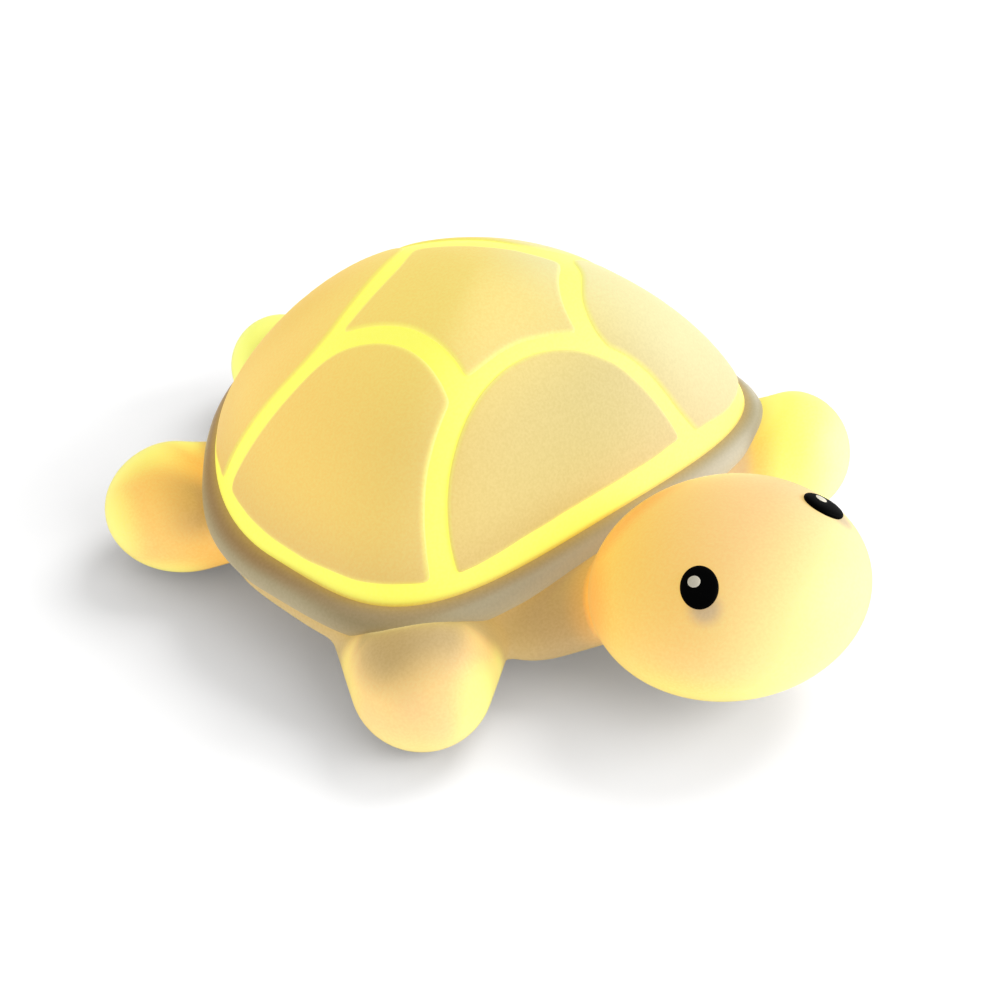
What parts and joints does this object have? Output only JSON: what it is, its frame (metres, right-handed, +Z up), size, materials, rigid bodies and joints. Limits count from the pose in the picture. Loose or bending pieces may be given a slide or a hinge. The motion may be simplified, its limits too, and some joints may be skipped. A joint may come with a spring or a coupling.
{
  "type": "silicone night light",
  "caption": "Turtle-shaped silicone night light with a glowing domed shell, raised scutes, stud eyes and a rechargeable core with a button and a charging port underneath.",
  "frame": {"origin": "on the floor, under the middle of the outer box", "axes": "+Z up, -Y the way the turtle faces, +X its left side"},
  "size_m": [0.1204, 0.1505, 0.0583],
  "materials": {
    "glow_silicone": "matte, lit from inside",
    "scute_silicone": "matte, lit from inside",
    "rim_silicone": "matte",
    "body_silicone": "matte, lit from inside",
    "eye_black": "gloss",
    "eye_dot": "satin",
    "base_plastic": "fine texture",
    "pad_rubber": "matte",
    "case_plastic": "satin",
    "screw_steel": "plated",
    "milk_plastic": "milky",
    "white_board": "solder mask",
    "light_chip": "gloss",
    "pin_brass": "plated",
    "green_board": "solder mask",
    "socket_steel": "plated",
    "flap_silicone": "matte",
    "switch_black": "matte",
    "plunger_plastic": "matte",
    "button_plastic": "satin",
    "cell_foil": "satin foil",
    "foam_tape": "foam",
    "lead_red": "satin",
    "lead_black": "satin",
    "plug_plastic": "satin"
  },
  "bodies": {
    "lamp": {"carapace": "glow_silicone", "scutes": "scute_silicone", "shell_rim": "rim_silicone", "body_skin": "body_silicone", "right_eye": "eye_black", "left_eye": "eye_black", "eye_glints": "eye_dot", "base_cover": "base_plastic", "anti_slip_pads": "pad_rubber", "core_case": "case_plastic", "case_screws": "screw_steel", "diffuser": "milk_plastic", "led_board": "white_board", "led_chips": "light_chip", "led_pins": "pin_brass", "control_board": "green_board", "board_screws": "screw_steel", "charging_socket": "socket_steel", "switch_body": "switch_black", "battery_cell": "cell_foil", "battery_tape": "foam_tape", "battery_lead_red": "lead_red", "battery_lead_black": "lead_black", "battery_plug": "plug_plastic", "battery_socket": "plug_plastic"},
    "button": {"power_button": "button_plastic", "switch_plunger": "plunger_plastic"},
    "flap": {"port_flap": "flap_silicone"}
  },
  "joints": [
    {"name": "button_press", "type": "slide", "parent": "lamp", "child": "button", "axis": [0, 0, 1], "range_m": [0, 0.0006], "stiffness_N_per_m": 1500},
    {"name": "flap_swing", "type": "hinge", "parent": "lamp", "child": "flap", "pos_m": [0.0333, 0.00765, 0.00615], "axis": [0, 0, -1], "range_deg": [0, 95]}
  ]
}
